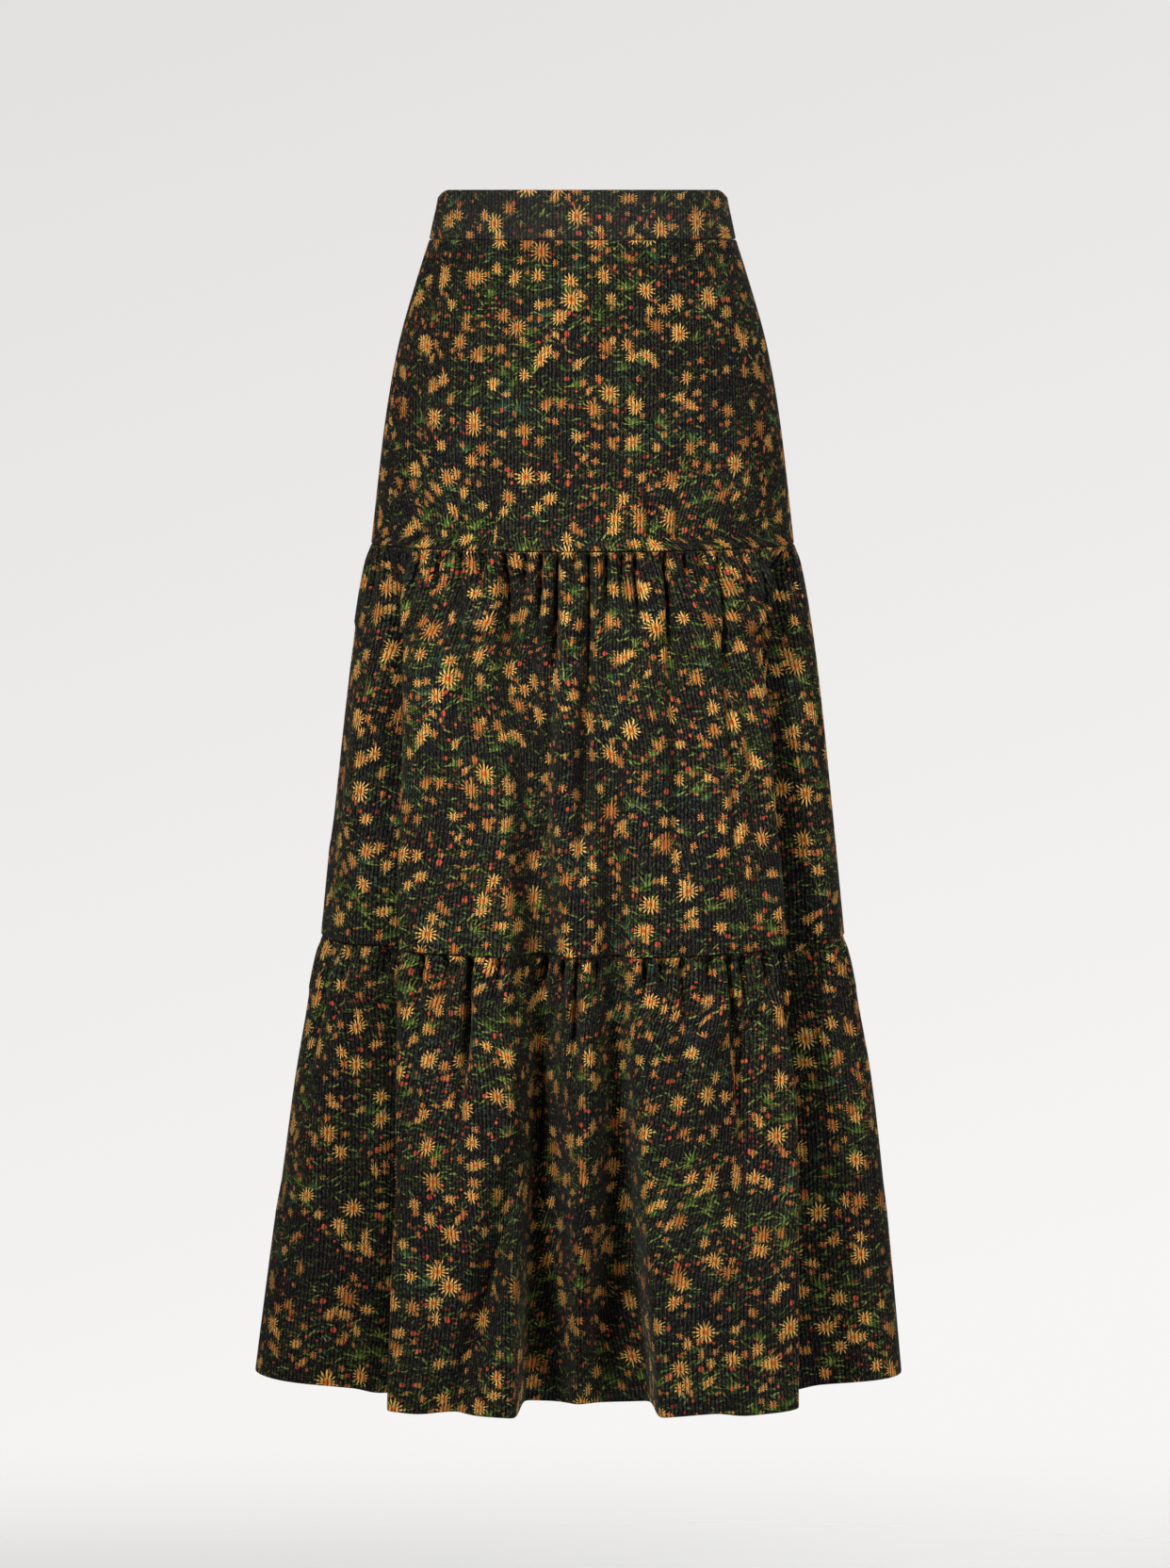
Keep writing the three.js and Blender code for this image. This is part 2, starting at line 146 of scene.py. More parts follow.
# Single creases: drops where one starts and ends, the share of its length where it is
# deepest, its angle at the start and the end, its depth and its half width in degrees.
creaseColumns = ("start", "end", "peak", "angle", "endAngle", "depth", "halfWidth")
creases = [
    (90, 300, 0.55, -57, -54, 4.5, 3.4),
    (215, middleTop, 0.9, -50.5, -50.5, 6, 1),
    (195, middleTop, 0.9, -37.5, -37.5, 7, 1),
    (210, middleTop, 0.9, -25, -25.2, 7, 1),
    (205, middleTop, 0.9, 18.4, 18.6, 7, 1),
    (220, middleTop, 0.9, 27, 27, 6, 1),
    (215, middleTop, 0.9, 46, 46, 4, 1.2),
    (120, middleTop, 0.6, 126, 124, 3.4, 3),
    (150, middleTop, 0.7, 214, 211, 3.2, 3),
    (middleTop, 640, 0.25, -60.5, -55.5, 17, 1.8),
    (middleTop, 560, 0.3, -19.5, -21, 13, 2.2),
    (middleTop, 600, 0.3, -33, -31.5, 9, 1.5),
    (middleTop, 600, 0.3, -7, -9, 13, 1.5),
    (middleTop, 680, 0.4, 1.7, -0.6, 15, 1.9),
    (330, 600, 0.4, 23, 22, 8, 1.6),
    (330, 600, 0.4, 38.5, 37, 9, 1.6),
    (330, 620, 0.4, 55.5, 50.5, 9, 1.2),
    (middleTop, 640, 0.2, 64.5, 54, 18, 1.8),
    (middleTop, 440, 0.1, 102, 101, 5, 2.2),
    (middleTop, 500, 0.2, 146, 147, 5.5, 2),
    (middleTop, 420, 0.1, 184, 185, 4.5, 2),
    (middleTop, 470, 0.2, 224, 223, 5, 2.2),
    (middleTop, 430, 0.1, 262, 261, 4.5, 2.2),
    (bottomTop, 800, 0.2, -73, -72, 6, 2.2),
    (640, 860, 0.3, -25.2, -25, 10, 1.5),
    (640, 1110, 0.5, -6.6, -26.4, 30, 2.6),
    (640, 820, 0.25, -2, -1, 9, 1.5),
    (640, 880, 0.3, 20, 21, 7, 2),
    (640, 880, 0.3, 34, 35, 8, 1.8),
    (bottomTop, 790, 0.2, 76, 77, 6, 2.2),
    (bottomTop, 770, 0.2, 104, 103, 6, 2),
    (bottomTop, 790, 0.2, 150, 151, 7, 1.8),
    (bottomTop, 750, 0.2, 187, 186, 6.5, 1.8),
    (bottomTop, 780, 0.2, 223, 224, 6.5, 1.8),
    (bottomTop, 760, 0.2, 265, 264, 6, 2.2),
]

# The tightest gathers under each seam: angle, length and depth of each one
gatherLines = {
    "middle": [
        (-79, 40, 5), (-72, 60, 6), (-66, 35, 5), (-59.4, 150, 8), (-50.5, 50, 7),
        (-42, 32, 5), (-34.6, 40, 7), (-27.8, 42, 6), (-21.5, 105, 9), (-15.6, 40, 7),
        (-11.3, 85, 9), (-6.9, 120, 9), (-2.1, 38, 6), (1.7, 160, 8), (6.4, 65, 8),
        (10.6, 60, 7), (14.3, 75, 9), (22.8, 110, 10), (28.4, 34, 6), (33.5, 38, 6),
        (39.2, 110, 8), (48.7, 55, 7), (56, 140, 8), (70, 45, 6), (77, 60, 6), (84, 35, 5),
        (97, 50, 6), (104, 85, 8), (112, 40, 5), (121, 60, 6), (131, 110, 8), (139, 45, 6),
        (148, 70, 7), (156, 38, 5), (163, 95, 8), (171, 50, 6), (180, 60, 7), (188, 110, 8),
        (195, 40, 5), (204, 70, 7), (214, 50, 6), (222, 95, 8), (231, 42, 5), (240, 65, 7),
        (250, 50, 6), (259, 80, 7),
    ],
    "bottom": [
        (-82, 45, 5), (-73, 80, 7), (-64, 70, 7), (-55, 42, 6), (-45, 150, 8), (-37.2, 52, 7),
        (-31.1, 48, 7), (-25.2, 120, 11), (-18.6, 45, 7), (-14.6, 75, 8), (-9.5, 50, 6),
        (-4.3, 62, 8), (-1.4, 110, 9), (3, 48, 6), (13.6, 45, 7), (17.2, 40, 7), (22.2, 75, 8),
        (28.2, 38, 6), (33.5, 85, 10), (37, 48, 7), (43.4, 50, 7), (48.5, 120, 8),
        (60, 100, 8), (67, 50, 6), (73, 75, 7), (81, 45, 5), (98, 55, 6), (106, 90, 8),
        (114, 45, 6), (123, 70, 7), (133, 110, 9), (142, 50, 6), (150, 80, 8), (158, 42, 6),
        (166, 100, 9), (174, 52, 6), (183, 65, 7), (191, 120, 9), (199, 45, 6), (207, 75, 7),
        (216, 52, 6), (225, 100, 9), (234, 45, 6), (243, 70, 7), (252, 55, 6), (261, 85, 8),
    ],
}
gatherLineShape = {
    "strength": 1.8,  # times the depth in the table
    "halfWidth": 0.7,  # degrees, at the seam
    "widening": 0.5,  # degrees more at the far end
    "steepness": 1.7,
    "wholeUntil": 0.3,  # shares of the length, from where it fades to where it ends
    "end": 1.1,
}
valleysWholeFrom = 26  # how far under the first seam the valleys have all their depth
straightBack = {"from": 16, "to": 34}  # degrees off centre over which valleys stop going straight back


def smoothStep(value, low, high):
    t = np.clip((value - low) / (high - low), 0, 1)
    return t * t * (3 - 2 * t)


def curveAt(places, values, place):
    # smooth curve through a table's values
    last = len(places) - 1
    place = min(max(place, places[0]), places[last])
    i = min(max(int(np.searchsorted(places, place, side="right")) - 1, 0), last - 1)

    def slope(k):
        low, high = max(k - 1, 0), min(k + 1, last)
        return (values[high] - values[low]) / (places[high] - places[low])

    span = places[i + 1] - places[i]
    t = (place - places[i]) / span
    return (
        (2 * t**3 - 3 * t**2 + 1) * values[i]
        + (t**3 - 2 * t**2 + t) * span * slope(i)
        + (3 * t**2 - 2 * t**3) * values[i + 1]
        + (t**3 - t**2) * span * slope(i + 1)
    )


ringSteps = 7200  # points round a section before it is spaced out along the cloth
angles = np.linspace(-90, 270, ringSteps + 1)


def insetAt(drop):
    # how far the valleys and creases stand in from the outline, all round
    total = np.zeros_like(angles)
    for lap in (-360, 0, 360):
        turned = angles + lap
        if drop >= middleTop:
            for valley in valleys.values():
                now = {
                    key: curveAt(valleyLevels, column, drop)
                    for key, column in zip(valleyColumns, zip(*valley))
                }
                rise = np.tanh((turned - now["from"]) / now["fromTurn"])
                fall = np.tanh((turned - now["to"]) / now["toTurn"])
                start = smoothStep(drop, middleTop, middleTop + valleysWholeFrom)
                total += start * now["depth"] * (rise - fall) / 2
        for row in creases:
            crease = dict(zip(creaseColumns, row))
            if not crease["start"] <= drop < crease["end"]:
                continue
            t = (drop - crease["start"]) / (crease["end"] - crease["start"])
            peak = crease["peak"]
            fade = smoothStep(t / peak if t < peak else (1 - t) / (1 - peak), 0, 1)
            centre = crease["angle"] + t * (crease["endAngle"] - crease["angle"])
            total += fade * crease["depth"] * np.exp(-(((turned - centre) / crease["halfWidth"]) ** 2))
    line = gatherLineShape
    for tier, top in (("middle", middleTop), ("bottom", bottomTop)):
        below = drop - top
        for centre, length, depth in gatherLines[tier]:
            end = line["end"] * length
            if 0 <= below < end:
                fade = smoothStep(below, -0.5, 6) * (1 - smoothStep(below, line["wholeUntil"] * length, end))
                halfWidth = line["halfWidth"] + line["widening"] * below / length
                away = np.abs(angles - centre) / halfWidth
                total += line["strength"] * fade * depth * np.exp(-(away ** line["steepness"]))
    return total


def ringNormals(points):
    along = np.gradient(points, axis=0)
    normals = np.stack([along[:, 1], -along[:, 0]], axis=1)
    return normals / np.linalg.norm(normals, axis=1, keepdims=True)


def lengthsAlong(points):
    steps = np.linalg.norm(np.diff(points, axis=0), axis=1)
    return np.concatenate([[0], np.cumsum(steps)])


sideIndex = ringSteps // 2  # where the right side seam is


def smoothRing(tier, drop):
    # the section without gathers, the way folds stand out from it at each point, and where
    # each point lies round it, from 0 to 1
    drops, *columns = zip(*outlines[tier])
    width, front, back, shift = (curveAt(drops, column, drop) for column in columns)
    sin, cos = np.sin(np.radians(angles)), np.cos(np.radians(angles))
    depth = np.where(cos > 0, front, back)
    normals = np.stack([sin / width, -cos / depth], axis=1)
    normals /= np.linalg.norm(normals, axis=1, keepdims=True)
    if drop >= middleTop:
        # the valleys near the centre go straight back
        share = 1 - smoothStep(np.abs((angles + 90) % 180 - 90), straightBack["from"], straightBack["to"])
        normals[:, 0] *= 1 - share * smoothStep(drop, bottomTop, hem)
    points = np.stack([width * sin + shift, -depth * cos], axis=1)
    points -= normals * insetAt(drop)[:, None]
    lengths = lengthsAlong(points)
    half = lengths[sideIndex]
    around = np.where(
        lengths <= half, 0.5 * lengths / half, 0.5 + 0.5 * (lengths - half) / (lengths[-1] - half)
    )
    return points, normals, around, width, shift


# Gathers: how many there are round the skirt, how deep they are just under the seam, how
# far down they run, and how many softer folds they run into.
gathers = {
    "middle": {"count": 64, "depth": 6, "reach": [34, 170], "folds": [13, 19, 27], "seed": 3},
    "bottom": {"count": 70, "depth": 7, "reach": [34, 200], "folds": [14, 22, 31], "seed": 8},
}
unevenness = {"width": (0.62, 1.38), "depth": (0.3, 1.15), "lean": (-0.6, 0.6)}
pucker = {
    "seamShare": 0.06,  # how much of its depth a gather has right at the seam
    "wholeFrom": 9,  # how far under the seam it has all of it
    "fadePower": 1.5,
    "seamWidth": 0.13,  # half width at the seam, as a share of the gather's own room
    "addedWidth": 0.25,  # what that gains lower down
    "core": 0.7,  # share of the depth in its narrow part, the rest is wider
    "coreSteepness": 1.6,
    "rimWidth": 2.6,
    "puff": 1.4,  # how far the cloth stands out between the gathers
}
softFolds = {
    "drift": 0.00045,  # how far they wander round the skirt for each millimetre down
    "offset": 0.13,
    "evenShare": 0.55,
    "roundness": 0.85,
    "height": 2.2,  # of a fold where there are usualCount of them
    "usualCount": 21,
    "lift": 0.3,
}
calmSides = {"share": 0.25, "from": 0.004, "to": 0.032}  # how much of a fold is left at the side seams
clothAround = {"middle": 690, "bottom": 920}  # what the folds of half a section take up at least
elastic = {"ripples": 40, "height": 1.7, "fade": 55}
bandRipple = {"count": 9, "height": 1.1}


def gatherTable(tier):
    # uneven places, depths and lengths for the gathers of a tier
    made = gathers[tier]
    chance = np.random.default_rng(made["seed"])
    widths = chance.uniform(*unevenness["width"], made["count"])
    centres = (np.cumsum(widths) - widths / 2) / widths.sum()
    shortest, longest = made["reach"]
    return {
        "centre": centres,
        "width": widths / widths.sum(),
        "depth": made["depth"] * chance.uniform(*unevenness["depth"], made["count"]),
        "reach": chance.triangular(shortest, shortest * 1.5, longest, made["count"]),
        "lean": chance.uniform(*unevenness["lean"], made["count"]) / made["count"],
    }


gatherTables = {tier: gatherTable(tier) for tier in gathers}


def sideCalm(around):
    # folds are shallower along the two side seams
    away = np.abs((around * 2 + 0.5) % 1 - 0.5) / 2
    least = calmSides["share"]
    return least + (1 - least) * smoothStep(away, calmSides["from"], calmSides["to"])


def puckers(tier, below, around):
    # narrow valleys under a seam, round crests between them
    table = gatherTables[tier]
    total = np.zeros_like(around)
    start = pucker["seamShare"] + (1 - pucker["seamShare"]) * smoothStep(below, 0, pucker["wholeFrom"])
    for centre, width, depth, reach, lean in zip(*table.values()):
        fade = math.exp(-((below / reach) ** pucker["fadePower"]))
        if fade < 0.01:
            continue
        place = centre + lean * below / 150
        away = np.abs((around - place + 0.5) % 1 - 0.5)
        narrow = width * (pucker["seamWidth"] + pucker["addedWidth"] * smoothStep(below, 0, 1.6 * reach))
        core = np.exp(-((away / narrow) ** pucker["coreSteepness"]))
        rim = np.exp(-((away / (pucker["rimWidth"] * narrow)) ** 2))
        total -= depth * start * fade * (pucker["core"] * core + (1 - pucker["core"]) * rim)
    return total * sideCalm(around) + pucker["puff"] * smoothStep(below, 1, 14)


def mediumFolds(tier, below, around):
    # softer folds that the gathers run into, rounder outside than inside
    total = np.zeros_like(around)
    even = softFolds["evenShare"]
    for order, count in enumerate(gathers[tier]["folds"]):
        drift = softFolds["drift"] * below * (order - 1) + softFolds["offset"] * order
        turn = (3 + 2 * order) * around + 0.31 * order + 0.0009 * below
        uneven = even + (1 - even) * np.sin(2 * math.pi * turn)
        wave = np.abs(np.sin(math.pi * (count * around + drift))) ** softFolds["roundness"]
        stand = softFolds["height"] * (wave - 1) + softFolds["lift"]
        total += uneven * stand * softFolds["usualCount"] / count
    return total * sideCalm(around)


def clothRing(tier, drop):
    # the whole section of a tier at a drop, as points along the cloth
    points, normals, around, width, shift = smoothRing(tier, drop)
    if tier in ("waistband", "yoke"):
        isBack = smoothStep(around, 0.5, 0.54) * (1 - smoothStep(around, 0.96, 1))
        fade = 1 - smoothStep(drop, yokeTop, yokeTop + elastic["fade"])
        ripple = 2 * np.abs(np.sin(math.pi * elastic["ripples"] * around)) ** 0.7 - 1
        slack = np.sin(2 * math.pi * bandRipple["count"] * around)
        stand = elastic["height"] * isBack * fade * ripple
        stand += bandRipple["height"] * (1 - isBack) * fade * slack
        return points + normals * stand[:, None], width, shift
    below = drop - (middleTop if tier == "middle" else bottomTop)
    fine = puckers(tier, below, around)
    if tier == "middle":
        share = smoothStep(below, -10, 60)
    else:
        # the folds of the tier above run on under the seam
        share = smoothStep(below, 0, 80)
        above = mediumFolds("middle", skirt["middleLength"], around)
        fine += (1 - share) * foldAmounts[bottomTop] * above
    folds = mediumFolds(tier, below, around) * share
    wanted = 2 * clothAround[tier]
    low, high = 0.4, 3
    for _ in range(12):
        # halve the range until the folds take up the cloth there is
        amount = (low + high) / 2
        moved = points + normals * (fine + amount * folds)[:, None]
        low, high = (amount, high) if lengthsAlong(moved)[-1] < wanted else (low, amount)
    if tier == "middle":
        foldAmounts[drop] = amount
    return moved, width, shift


foldAmounts = {}  # how much of its soft folds a section of the middle tier takes, by drop
clothRing("middle", bottomTop)
print("section tables ready")

waleSteadiness = 38  # over what length down the cloth a wale's course is evened out
frontDepth = 60  # how far in front of the middle the cloth counts as all front
rowsNearSeam = [0, 0.35, 1.1, skirt["seamRoll"]]


def waleOffset(place):
    # a round rib for each wale, between narrow grooves
    phase = (place / skirt["walePitch"]) % 1
    return skirt["waleHeight"] * (np.abs(np.sin(math.pi * phase)) ** 0.8 - 0.6)


def rollIn(distance):
    # how far the cloth has turned in this close to a seam
    radius = skirt["seamRoll"]
    close = max(radius - distance, 0)
    return radius - math.sqrt(radius**2 - close**2) if close < radius else radius


def panelRows(tier, half, drops, rolls, columns, wall):
    # outer and inner points of a panel, with the place of each one on the flat cloth
    step = skirt["walePitch"] / skirt["pointsPerWale"]
    places = (np.arange(columns + 1) - columns / 2) * step
    chosen = slice(0, sideIndex + 1) if half == "front" else slice(sideIndex, None)
    rings = [clothRing(tier, drop) for drop in drops]
    allLengths = np.array([lengthsAlong(ring[0][chosen]) for ring in rings])
    if tier in clothAround:
        # wales keep their course past a fold that comes and goes
        down = np.array(drops)
        apart = (down[:, None] - down[None, :]) / waleSteadiness
        weights = np.exp(-(apart**2)) * np.gradient(down)
        weights /= weights.sum(axis=1, keepdims=True)
        shares = allLengths / allLengths[:, -1:]
        allLengths = (weights @ shares) * allLengths[:, -1:]
    outer, inner, across = [], [], []
    for (ring, width, shift), lengths, drop, roll in zip(rings, allLengths, drops, rolls):
        part = ring[chosen]
        normals = ringNormals(part)
        total = lengths[-1]
        margin = skirt["sideGap"] / 2
        if tier in clothAround:
            wanted = np.linspace(margin, total - margin, columns + 1)
            flat = places
        else:
            flat = np.clip(places, -total / 2 + margin, total / 2 - margin)
            wanted = total / 2 + flat
        found = np.stack([np.interp(wanted, lengths, part[:, k]) for k in (0, 1)], axis=1)
        facing = np.stack([np.interp(wanted, lengths, normals[:, k]) for k in (0, 1)], axis=1)
        facing /= np.linalg.norm(facing, axis=1, keepdims=True)
        side = np.minimum(np.abs(found[:, 0] - shift) / width, 1)
        dip = topDip["depth"] * (np.maximum(side - topDip["from"], 0) / (1 - topDip["from"])) ** 2
        height = skirt["waistbandHeight"] / 2 - drop
        rises = [curveAt(sideRise["drop"], sideRise[key], drop) for key in ("left", "right")]
        height += np.where(found[:, 0] < 0, *rises) * side**2
        height -= dip * (1 - smoothStep(drop, 0, skirt["waistbandHeight"]))
        isFront = smoothStep(-found[:, 1], 0, frontDepth)
        for place, depth, halfWidth in zip(hemDips["across"], hemDips["depth"], hemDips["halfWidth"]):
            share = isFront * np.exp(-(((found[:, 0] - place) / halfWidth) ** 4))
            height -= depth * share * smoothStep(drop, hemDips["from"], hem)
        out = found + facing * (waleOffset(flat) - roll)[:, None]
        back = found - facing * max(wall, roll + 0.5)
        outer.append(np.column_stack([out, height]))
        inner.append(np.column_stack([back, height]))
        across.append(flat)
    return np.array(outer), np.array(inner), np.array(across)


def spacedDrops(top, bottom, fineStep, fineLength, coarseStep):
    # rows down a panel: a few close to each seam, finer under gathers than below them
    rows = [top + near for near in rowsNearSeam]
    fineCount = max(round((fineLength - rowsNearSeam[-1]) / fineStep), 1)
    rows += list(np.linspace(rows[-1], top + fineLength, fineCount + 1)[1:])
    last = bottom - rowsNearSeam[-1]
    coarseCount = max(round((last - top - fineLength) / coarseStep), 1)
    rows += list(np.linspace(top + fineLength, last, coarseCount + 1)[1:])
    return rows + [bottom - near for near in reversed(rowsNearSeam[:-1])]


# Where each side of a shell lies in its second map, where nothing overlaps
secondMap = {
    "left": 0.005,
    "width": 0.965,
    "outside": (0.34, 0.975),
    "inside": (0.02, 0.32),
    "topEdge": 0.985,
    "bottomEdge": 0.005,
    "leftSide": 0.975,
    "rightSide": 0.988,
    "stripWidth": 0.008,
}


def cornersOf(grid, flip):
    # the four corners of each cell of a grid of points or point numbers
    quad = [grid[:-1, :-1], grid[1:, :-1], grid[1:, 1:], grid[:-1, 1:]]
    if flip:
        quad = quad[::-1]
    return np.stack([q.reshape(-1, *grid.shape[2:]) for q in quad], axis=1)


def clothMesh(name, outer, inner, across, drops, innerRows, materials):
    # a closed shell: ribbed outside, plain inside with fewer rows, joined at its edges
    rows, columns = outer.shape[:2]
    picked = inner[innerRows]
    vertices = np.concatenate([outer.reshape(-1, 3), picked.reshape(-1, 3)]) * mm
    outerIndex = np.arange(rows * columns).reshape(rows, columns)
    innerIndex = rows * columns + np.arange(len(innerRows) * columns).reshape(-1, columns)
    down = np.array(drops)
    spanAcross = across.max() - across.min()
    spanDown = down[-1] - down[0]

    faces, cloth, bake, sides = [], [], [], []

    def addFaces(corners, flat, layout, side):
        faces.extend(corners.tolist())
        cloth.append(flat.reshape(-1, 2))
        bake.append(layout.reshape(-1, 2))
        sides.extend([side] * len(corners))

    def faceGrid(index, chosen, strip, side):
        # one face of the cloth, through the chosen rows
        low, high = strip
        drop = np.repeat(down[chosen][:, None], columns, axis=1)
        flat = np.stack([across[chosen] * mm, -drop * mm], axis=2)
        x = (across[chosen] - across.min()) / spanAcross
        y = 1 - (drop - down[0]) / spanDown
        layout = np.stack([secondMap["left"] + secondMap["width"] * x, low + (high - low) * y], axis=2)
        addFaces(*(cornersOf(grid, side == 1) for grid in (index, flat, layout)), side)

    faceGrid(outerIndex, np.arange(rows), secondMap["outside"], 0)
    faceGrid(innerIndex, np.array(innerRows), secondMap["inside"], 1)

    def edgeStrip(first, second, row, low):
        # joins two rows of points, one outside and one inside
        index = np.stack([first, second])
        place = np.stack([across[row]] * 2) * mm
        flat = np.stack([place, np.full_like(place, -down[row] * mm)], axis=2)
        x = np.linspace(secondMap["left"], secondMap["left"] + secondMap["width"], columns)
        y = np.repeat([[low + secondMap["stripWidth"]], [low]], columns, axis=1)
        layout = np.stack([np.stack([x, x]), y], axis=2)
        addFaces(*(cornersOf(grid, False) for grid in (index, flat, layout)), 0)

    edgeStrip(innerIndex[0], outerIndex[0], 0, secondMap["topEdge"])
    edgeStrip(outerIndex[-1], innerIndex[-1], -1, secondMap["bottomEdge"])

    def sideStrip(column, flip, low):
        # joins the many outer rows to the fewer inner rows along a side seam
        corners, flat, layout = [], [], []
        for k in range(len(innerRows) - 1):
            here, there = innerRows[k], innerRows[k + 1]
            for row in range(here, there):
                corners.append([outerIndex[row, column], innerIndex[k, column], outerIndex[row + 1, column]])
            corners.append([outerIndex[there, column], innerIndex[k, column], innerIndex[k + 1, column]])
        for triangle in corners:
            for vertex in triangle:
                isOuter = vertex < rows * columns
                row = vertex // columns if isOuter else innerRows[(vertex - rows * columns) // columns]
                x = low if isOuter else low + secondMap["stripWidth"]
                flat.append([across[row, column] * mm, -down[row] * mm])
                layout.append([x, 0.99 - 0.97 * (down[row] - down[0]) / spanDown])
        corners = np.array(corners)
        flat, layout = (np.array(v).reshape(-1, 3, 2) for v in (flat, layout))
        if flip:
            corners, flat, layout = corners[:, ::-1], flat[:, ::-1], layout[:, ::-1]
        addFaces(corners, flat, layout, 0)

    sideStrip(0, False, secondMap["leftSide"])
    sideStrip(columns - 1, True, secondMap["rightSide"])

    mesh = bpy.data.meshes.new(name)
    mesh.from_pydata(vertices.tolist(), [], faces)
    for layerName, values in (("cloth", cloth), ("OFBake", bake)):
        layer = mesh.uv_layers.new(name=layerName)
        layer.data.foreach_set("uv", np.concatenate(values).astype(np.float32).ravel())
    mesh.polygons.foreach_set("material_index", np.array(sides, dtype=np.int32))
    mesh.polygons.foreach_set("use_smooth", np.ones(len(faces), dtype=bool))
    edit = bmesh.new()
    edit.from_mesh(mesh)
    bmesh.ops.remove_doubles(edit, verts=edit.verts, dist=1e-6)
    edit.to_mesh(mesh)
    edit.free()
    for material in materials:
        mesh.materials.append(material)
    made = bpy.data.objects.new(name, mesh)
    bpy.context.scene.collection.objects.link(made)
    return made


class Graph:
    # short ways to add and join nodes
    def __init__(self, tree):
        self.tree = tree

    def plug(self, socket, value):
        if isinstance(value, bpy.types.NodeSocket):
            self.tree.links.new(value, socket)
        else:
            socket.default_value = value

    def node(self, kind, inputs=None, **settings):
        made = self.tree.nodes.new(kind)
        for key, value in settings.items():
            setattr(made, key, value)
        for key, value in (inputs or {}).items():
            self.plug(made.inputs[key], value)
        return made

    def math(self, operation, *values):
        return self.node("ShaderNodeMath", dict(enumerate(values)), operation=operation).outputs[0]

    def plus(self, first, second):
        return self.math("ADD", first, second)

    def minus(self, first, second):
        return self.math("SUBTRACT", first, second)

    def times(self, first, second):
        return self.math("MULTIPLY", first, second)

    def vector(self, operation, *values):
        made = self.node("ShaderNodeVectorMath", dict(enumerate(values)), operation=operation)
        return made.outputs[1 if operation == "LENGTH" else 0]

    def split(self, vector):
        return self.node("ShaderNodeSeparateXYZ", {0: vector}).outputs

    def join(self, x, y, z=0.0):
        return self.node("ShaderNodeCombineXYZ", {0: x, 1: y, 2: z}).outputs[0]

    def remap(self, value, low, high, toLow=0.0, toHigh=1.0, smooth=True):
        made = self.node("ShaderNodeMapRange", {0: value, 1: low, 2: high, 3: toLow, 4: toHigh})
        made.interpolation_type = "SMOOTHSTEP" if smooth else "LINEAR"
        return made.outputs[0]

    def mix(self, factor, first, second, blend="MIX"):
        made = self.node("ShaderNodeMix", data_type="RGBA", blend_type=blend)
        made.clamp_factor = True
        self.plug(made.inputs[0], factor)
        self.plug(made.inputs[6], first)
        self.plug(made.inputs[7], second)
        return made.outputs[2]

    def noise(self, vector, scale, detail=2.0, roughness=0.5):
        made = self.node(
            "ShaderNodeTexNoise",
            {"Vector": vector, "Scale": scale, "Detail": detail, "Roughness": roughness},
            noise_dimensions="2D",
        )
        return made.outputs[0]

    def chance(self, value):
        # a number from 0 to 1 that is the same for the same value
        return self.node("ShaderNodeTexWhiteNoise", {"W": value}, noise_dimensions="1D").outputs[0]


def newGroup(name, inputs, outputs):
    # a motif takes the place on the cloth and some numbers, and gives numbers
    tree = bpy.data.node_groups.new(name, "ShaderNodeTree")
    tree.interface.new_socket(name="Place", in_out="INPUT", socket_type="NodeSocketVector")
    for way, labels in (("INPUT", inputs), ("OUTPUT", outputs)):
        for label in labels:
            tree.interface.new_socket(name=label, in_out=way, socket_type="NodeSocketFloat")
    graph = Graph(tree)
    start = graph.node("NodeGroupInput").outputs
    end = graph.node("NodeGroupOutput").inputs
    return graph, start, end


def cellsOf(graph, place, cell, seed, randomness):
    # one motif for each cell: the way from its middle, and three chances
    scaled = graph.vector("DIVIDE", place, graph.join(cell, cell, 1.0))
    moved = graph.vector("ADD", scaled, graph.join(seed, graph.times(seed, 1.7)))
    cells = graph.node(
        "ShaderNodeTexVoronoi",
        {"Vector": moved, "Scale": 1.0, "Randomness": randomness},
        voronoi_dimensions="2D",
        feature="F1",
    )
    away = graph.vector("SUBTRACT", moved, cells.outputs["Position"])
    chances = graph.split(cells.outputs["Color"])
    return graph.split(away), chances


def turnedBy(graph, x, y, turn):
    # a place as seen by a motif that is turned
    sin, cos = graph.math("SINE", turn), graph.math("COSINE", turn)
    along = graph.plus(graph.times(x, cos), graph.times(y, sin))
    over = graph.minus(graph.times(y, cos), graph.times(x, sin))
    return along, over


